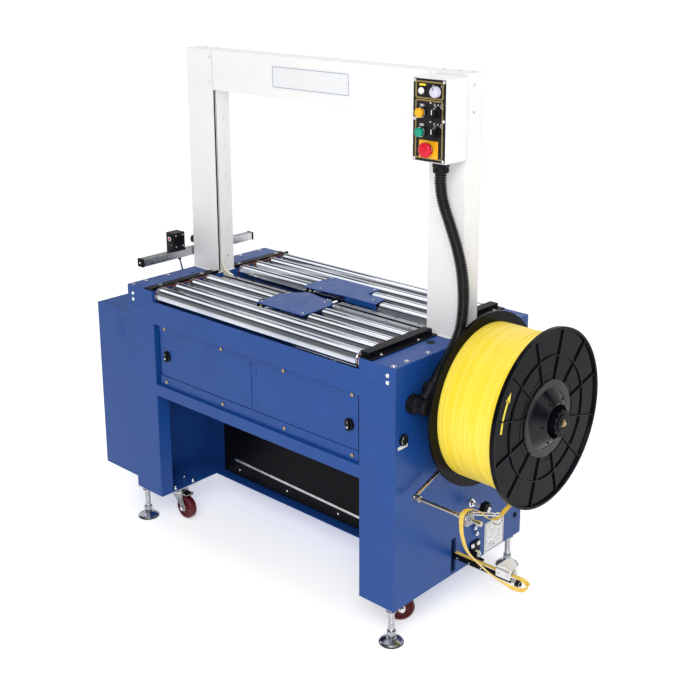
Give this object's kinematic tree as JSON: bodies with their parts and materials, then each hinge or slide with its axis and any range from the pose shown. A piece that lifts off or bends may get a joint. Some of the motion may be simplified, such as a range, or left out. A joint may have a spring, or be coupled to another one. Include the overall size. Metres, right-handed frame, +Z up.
{
  "type": "strapping machine",
  "caption": "Floor-standing strapping machine: roller table, white portal arch, blue cabinet on casters and levelling feet, side strap reel and box-mounted controls.",
  "frame": {"origin": "floor level, under the centre of the machine's outline (centre of the underside of its bounding box)", "axes": "+X along the rollers towards the strap reel, +Y from the operator's side to the back, +Z up"},
  "size_m": [1.5594, 0.601, 1.497],
  "materials": {
    "aluminium": "satin anodised",
    "belt_rubber": "satin",
    "black_plastic": "matte moulded",
    "black_steel": "satin",
    "blue_paint": "satin powder coat",
    "cast_grey": "machined",
    "green_plastic": "gloss",
    "lilac_plastic": "gloss",
    "panel_black": "satin",
    "red_plastic": "gloss",
    "red_wheel": "satin",
    "roller_steel": "galvanised, bright",
    "track_mix": "satin",
    "white_paint": "satin powder coat",
    "yellow_plastic": "gloss",
    "yellow_strap": "satin",
    "zinc_steel": "zinc plated"
  },
  "bodies": {
    "root": {"main_frame": "blue_paint", "body_shells": "blue_paint", "table_caps": "blue_paint", "guide_rails": "black_steel", "centre_plates": "blue_paint", "strap_track": "track_mix", "table_belts": "belt_rubber", "strapping_head": "cast_grey", "pool_box": "black_steel", "arch_frame": "white_paint", "control_box": "white_paint", "control_panel": "panel_black", "conduit": "black_plastic", "conduit_fittings": "black_plastic", "sensor_bar": "aluminium", "reel_shaft": "zinc_steel", "side_fittings": "black_steel", "fasteners": "zinc_steel", "caster_plates": "zinc_steel", "strap_lead": "yellow_strap", "cabinet": "blue_paint"},
    "roller_1": {"roller_1": "roller_steel"},
    "roller_2": {"roller_2": "roller_steel"},
    "roller_3": {"roller_3": "roller_steel"},
    "roller_4": {"roller_4": "roller_steel"},
    "roller_5": {"roller_5": "roller_steel"},
    "roller_6": {"roller_6": "roller_steel"},
    "roller_7": {"roller_7": "roller_steel"},
    "roller_8": {"roller_8": "roller_steel"},
    "caster_fork_1": {"caster_fork_1": "zinc_steel"},
    "caster_wheel_1": {"caster_wheel_1": "red_wheel"},
    "caster_fork_2": {"caster_fork_2": "zinc_steel"},
    "caster_wheel_2": {"caster_wheel_2": "red_wheel"},
    "caster_fork_3": {"caster_fork_3": "zinc_steel"},
    "caster_wheel_3": {"caster_wheel_3": "red_wheel"},
    "caster_fork_4": {"caster_fork_4": "zinc_steel"},
    "caster_wheel_4": {"caster_wheel_4": "red_wheel"},
    "foot_1": {"foot_1": "zinc_steel"},
    "foot_2": {"foot_2": "zinc_steel"},
    "foot_3": {"foot_3": "zinc_steel"},
    "foot_4": {"foot_4": "zinc_steel"},
    "power_knob": {"power_knob": "lilac_plastic"},
    "selector_upper": {"selector_upper": "black_plastic"},
    "selector_lower": {"selector_lower": "black_plastic"},
    "yellow_button": {"yellow_button": "yellow_plastic"},
    "green_button": {"green_button": "green_plastic"},
    "estop_button": {"estop_button": "red_plastic"},
    "side_button": {"side_button": "black_plastic"},
    "reel": {"reel_flange_inner": "black_plastic", "reel_flange_outer": "black_plastic", "strap_coil": "yellow_strap"},
    "reel_nut": {"reel_nut": "black_plastic"},
    "brake_arm": {"brake_arm": "zinc_steel"},
    "dancer_arm": {"dancer_arm": "black_steel"},
    "tension_knob": {"tension_knob": "black_plastic"},
    "left_door": {"left_door": "blue_paint"},
    "right_door": {"right_door": "blue_paint"},
    "left_latch": {"left_latch": "black_plastic"},
    "right_latch": {"right_latch": "black_plastic"},
    "sensor_head": {"sensor_head": "black_plastic"}
  },
  "joints": [
    {"name": "roller_1_spin", "type": "hinge", "parent": "root", "child": "roller_1", "pos_m": [-0.07025, -0.2565, 0.774], "axis": [1, 0, 0], "continuous": true},
    {"name": "roller_2_spin", "type": "hinge", "parent": "root", "child": "roller_2", "pos_m": [-0.07025, -0.1945, 0.774], "axis": [1, 0, 0], "continuous": true},
    {"name": "roller_3_spin", "type": "hinge", "parent": "root", "child": "roller_3", "pos_m": [-0.07025, -0.1325, 0.774], "axis": [1, 0, 0], "continuous": true},
    {"name": "roller_4_spin", "type": "hinge", "parent": "root", "child": "roller_4", "pos_m": [-0.07025, -0.0705, 0.774], "axis": [1, 0, 0], "continuous": true},
    {"name": "roller_5_spin", "type": "hinge", "parent": "root", "child": "roller_5", "pos_m": [-0.07025, 0.0795, 0.774], "axis": [1, 0, 0], "continuous": true},
    {"name": "roller_6_spin", "type": "hinge", "parent": "root", "child": "roller_6", "pos_m": [-0.07025, 0.1415, 0.774], "axis": [1, 0, 0], "continuous": true},
    {"name": "roller_7_spin", "type": "hinge", "parent": "root", "child": "roller_7", "pos_m": [-0.07025, 0.2035, 0.774], "axis": [1, 0, 0], "continuous": true},
    {"name": "roller_8_spin", "type": "hinge", "parent": "root", "child": "roller_8", "pos_m": [-0.07025, 0.2655, 0.774], "axis": [1, 0, 0], "continuous": true},
    {"name": "caster_1_swivel", "type": "hinge", "parent": "root", "child": "caster_fork_1", "pos_m": [-0.51925, -0.1915, 0.095], "axis": [0, 0, 1], "continuous": true},
    {"name": "caster_1_roll", "type": "hinge", "parent": "caster_fork_1", "child": "caster_wheel_1", "pos_m": [-0.48725, -0.1915, 0.0395], "axis": [0, 1, 0], "continuous": true},
    {"name": "caster_2_swivel", "type": "hinge", "parent": "root", "child": "caster_fork_2", "pos_m": [0.37875, -0.1915, 0.095], "axis": [0, 0, 1], "continuous": true},
    {"name": "caster_2_roll", "type": "hinge", "parent": "caster_fork_2", "child": "caster_wheel_2", "pos_m": [0.39932, -0.16699, 0.0395], "axis": [-0.766, 0.6428, 0], "continuous": true},
    {"name": "caster_3_swivel", "type": "hinge", "parent": "root", "child": "caster_fork_3", "pos_m": [-0.51925, 0.1915, 0.095], "axis": [0, 0, 1], "continuous": true},
    {"name": "caster_3_roll", "type": "hinge", "parent": "caster_fork_3", "child": "caster_wheel_3", "pos_m": [-0.48834, 0.19978, 0.0395], "axis": [-0.2588, 0.9659, 0], "continuous": true},
    {"name": "caster_4_swivel", "type": "hinge", "parent": "root", "child": "caster_fork_4", "pos_m": [0.37875, 0.1915, 0.095], "axis": [0, 0, 1], "continuous": true},
    {"name": "caster_4_roll", "type": "hinge", "parent": "caster_fork_4", "child": "caster_wheel_4", "pos_m": [0.3678, 0.22157, 0.0395], "axis": [-0.9397, -0.342, 0], "continuous": true},
    {"name": "foot_1_level", "type": "slide", "parent": "root", "child": "foot_1", "axis": [0, 0, 1], "range_m": [-0.03, 0]},
    {"name": "foot_2_level", "type": "slide", "parent": "root", "child": "foot_2", "axis": [0, 0, 1], "range_m": [-0.03, 0]},
    {"name": "foot_3_level", "type": "slide", "parent": "root", "child": "foot_3", "axis": [0, 0, 1], "range_m": [-0.03, 0]},
    {"name": "foot_4_level", "type": "slide", "parent": "root", "child": "foot_4", "axis": [0, 0, 1], "range_m": [-0.03, 0]},
    {"name": "power_turn", "type": "hinge", "parent": "root", "child": "power_knob", "pos_m": [0.44975, -0.1085, 1.457], "axis": [0, -1, 0], "range_deg": [-90, 0]},
    {"name": "selector_upper_turn", "type": "hinge", "parent": "root", "child": "selector_upper", "pos_m": [0.45175, -0.1085, 1.404], "axis": [0, -1, 0], "range_deg": [-45, 45]},
    {"name": "selector_lower_turn", "type": "hinge", "parent": "root", "child": "selector_lower", "pos_m": [0.45175, -0.1085, 1.356], "axis": [0, -1, 0], "range_deg": [-45, 45]},
    {"name": "yellow_press", "type": "slide", "parent": "root", "child": "yellow_button", "axis": [0, 1, 0], "range_m": [0, 0.004], "stiffness_N_per_m": 400},
    {"name": "green_press", "type": "slide", "parent": "root", "child": "green_button", "axis": [0, 1, 0], "range_m": [0, 0.004], "stiffness_N_per_m": 400},
    {"name": "estop_press", "type": "slide", "parent": "root", "child": "estop_button", "axis": [0, 1, 0], "range_m": [0, 0.005]},
    {"name": "side_press", "type": "slide", "parent": "root", "child": "side_button", "axis": [-1, 0, 0], "range_m": [0, 0.003], "stiffness_N_per_m": 400},
    {"name": "reel_spin", "type": "hinge", "parent": "root", "child": "reel", "pos_m": [0.62975, 0.0155, 0.636], "axis": [1, 0, 0], "continuous": true},
    {"name": "reel_nut_spin", "type": "hinge", "parent": "reel", "child": "reel_nut", "pos_m": [0.75175, 0.0155, 0.636], "axis": [1, 0, 0], "continuous": true},
    {"name": "brake_lift", "type": "hinge", "parent": "root", "child": "brake_arm", "pos_m": [0.49475, 0.0305, 0.527], "axis": [1, 0, 0], "range_deg": [-20, 0], "deforming": ["strap_lead"]},
    {"name": "dancer_lift", "type": "hinge", "parent": "root", "child": "dancer_arm", "pos_m": [0.37475, -0.0305, 0.166], "axis": [0, 1, 0], "range_deg": [-18, 0], "deforming": ["strap_lead"]},
    {"name": "tension_knob_spin", "type": "hinge", "parent": "root", "child": "tension_knob", "pos_m": [0.51975, 0.0485, 0.296], "axis": [1, 0, 0], "continuous": true},
    {"name": "left_door_swing", "type": "hinge", "parent": "root", "child": "left_door", "pos_m": [-0.07285, -0.2745, 0.595], "axis": [0, 0, 1], "range_deg": [0, 85]},
    {"name": "right_door_swing", "type": "hinge", "parent": "root", "child": "right_door", "pos_m": [-0.06765, -0.2745, 0.595], "axis": [0, 0, 1], "range_deg": [-85, 0]},
    {"name": "left_latch_turn", "type": "hinge", "parent": "left_door", "child": "left_latch", "pos_m": [-0.44725, -0.2745, 0.59], "axis": [0, 1, 0], "range_deg": [0, 90]},
    {"name": "right_latch_turn", "type": "hinge", "parent": "right_door", "child": "right_latch", "pos_m": [0.30675, -0.2745, 0.59], "axis": [0, 1, 0], "range_deg": [-90, 0]},
    {"name": "sensor_slide", "type": "slide", "parent": "root", "child": "sensor_head", "axis": [0, 1, 0], "range_m": [-0.1, 0.03]}
  ],
  "couplings": [
    {"joint": "roller_2_spin", "follows": "roller_1_spin", "ratio": 1},
    {"joint": "roller_3_spin", "follows": "roller_1_spin", "ratio": 1},
    {"joint": "roller_4_spin", "follows": "roller_1_spin", "ratio": 1},
    {"joint": "roller_6_spin", "follows": "roller_5_spin", "ratio": 1},
    {"joint": "roller_7_spin", "follows": "roller_5_spin", "ratio": 1},
    {"joint": "roller_8_spin", "follows": "roller_5_spin", "ratio": 1}
  ]
}
